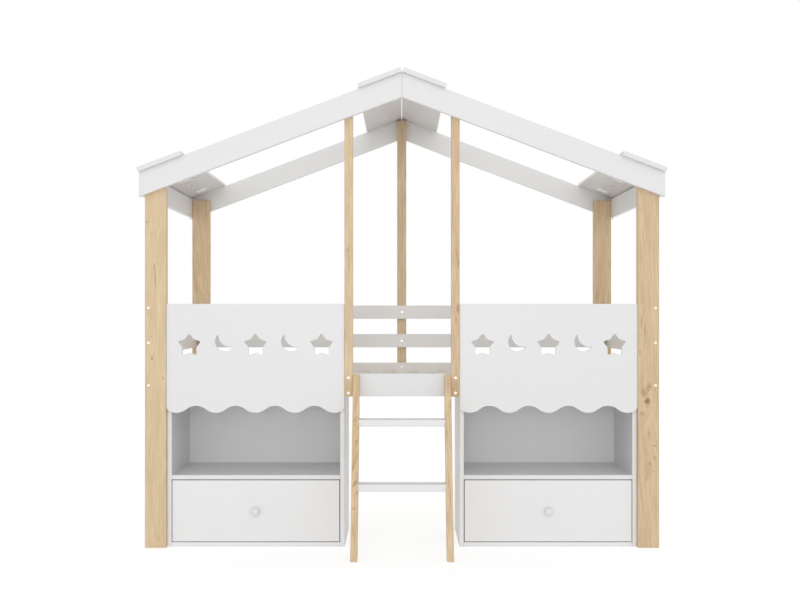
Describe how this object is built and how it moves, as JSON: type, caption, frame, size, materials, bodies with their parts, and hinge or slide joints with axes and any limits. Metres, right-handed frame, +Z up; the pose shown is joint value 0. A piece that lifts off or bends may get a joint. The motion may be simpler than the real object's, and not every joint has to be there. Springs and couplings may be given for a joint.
{
  "type": "house bed",
  "caption": "Mid-high child's bed under an open gable roof, with a leaning ladder in the middle, scalloped front panels with star and moon cut-outs, and drawer cabinets below.",
  "frame": {"origin": "on the floor, under the middle of the bounding box", "axes": "+X along the bed to its right end as seen from the ladder, +Y from the ladder side to the rear side, +Z up"},
  "size_m": [2.1076, 1.3058, 1.9151],
  "materials": {
    "natural_wood": "clear matt varnish on oak-toned softwood, with knots",
    "white_lacquer": "smooth satin white lacquer on board",
    "slat_wood": "planed pale wood, untreated",
    "plywood": "thin sanded plywood",
    "zinc_steel": "bright zinc plating"
  },
  "bodies": {
    "frame": {"corner_post_front_left": "natural_wood", "corner_post_front_right": "natural_wood", "corner_post_rear_left": "natural_wood", "corner_post_rear_right": "natural_wood", "entry_post_left": "natural_wood", "entry_post_right": "natural_wood", "rear_center_post": "natural_wood", "front_side_rail": "white_lacquer", "rear_side_rail": "white_lacquer", "left_end_rail": "white_lacquer", "right_end_rail": "white_lacquer", "rear_guard_rails": "white_lacquer", "left_guard_rails": "white_lacquer", "right_guard_rails": "white_lacquer", "front_guard_rails": "white_lacquer", "front_panel_left": "white_lacquer", "front_panel_right": "white_lacquer", "slat_ledgers": "slat_wood", "bed_slats": "slat_wood", "rafter_front_left": "white_lacquer", "rafter_front_right": "white_lacquer", "rafter_rear_left": "white_lacquer", "rafter_rear_right": "white_lacquer", "ridge_board_left": "white_lacquer", "ridge_board_right": "white_lacquer", "eave_board_left": "white_lacquer", "eave_board_right": "white_lacquer", "eave_fascia_left": "white_lacquer", "eave_fascia_right": "white_lacquer", "ladder_stringer_left": "natural_wood", "ladder_stringer_right": "natural_wood", "ladder_treads": "white_lacquer", "cabinet_left_sides": "white_lacquer", "cabinet_left_top": "white_lacquer", "cabinet_left_shelf": "white_lacquer", "cabinet_left_bottom": "white_lacquer", "cabinet_left_back": "white_lacquer", "cabinet_right_sides": "white_lacquer", "cabinet_right_top": "white_lacquer", "cabinet_right_shelf": "white_lacquer", "cabinet_right_bottom": "white_lacquer", "cabinet_right_back": "white_lacquer", "drawer_runners": "slat_wood", "end_rail_bolts": "zinc_steel", "barrel_nuts": "zinc_steel", "front_bolts": "zinc_steel", "joint_screws": "zinc_steel", "roof_screws": "zinc_steel", "slat_screws": "zinc_steel", "cabinet_screws": "zinc_steel"},
    "drawer_left": {"drawer_left_front": "white_lacquer", "drawer_left_box": "white_lacquer", "drawer_left_bottom": "plywood", "drawer_left_knob": "white_lacquer", "drawer_left_fixings": "zinc_steel"},
    "drawer_right": {"drawer_right_front": "white_lacquer", "drawer_right_box": "white_lacquer", "drawer_right_bottom": "plywood", "drawer_right_knob": "white_lacquer", "drawer_right_fixings": "zinc_steel"}
  },
  "joints": [
    {"name": "drawer_left_slide", "type": "slide", "parent": "frame", "child": "drawer_left", "axis": [0, -1, 0], "range_m": [0, 0.23]},
    {"name": "drawer_right_slide", "type": "slide", "parent": "frame", "child": "drawer_right", "axis": [0, -1, 0], "range_m": [0, 0.23]}
  ]
}
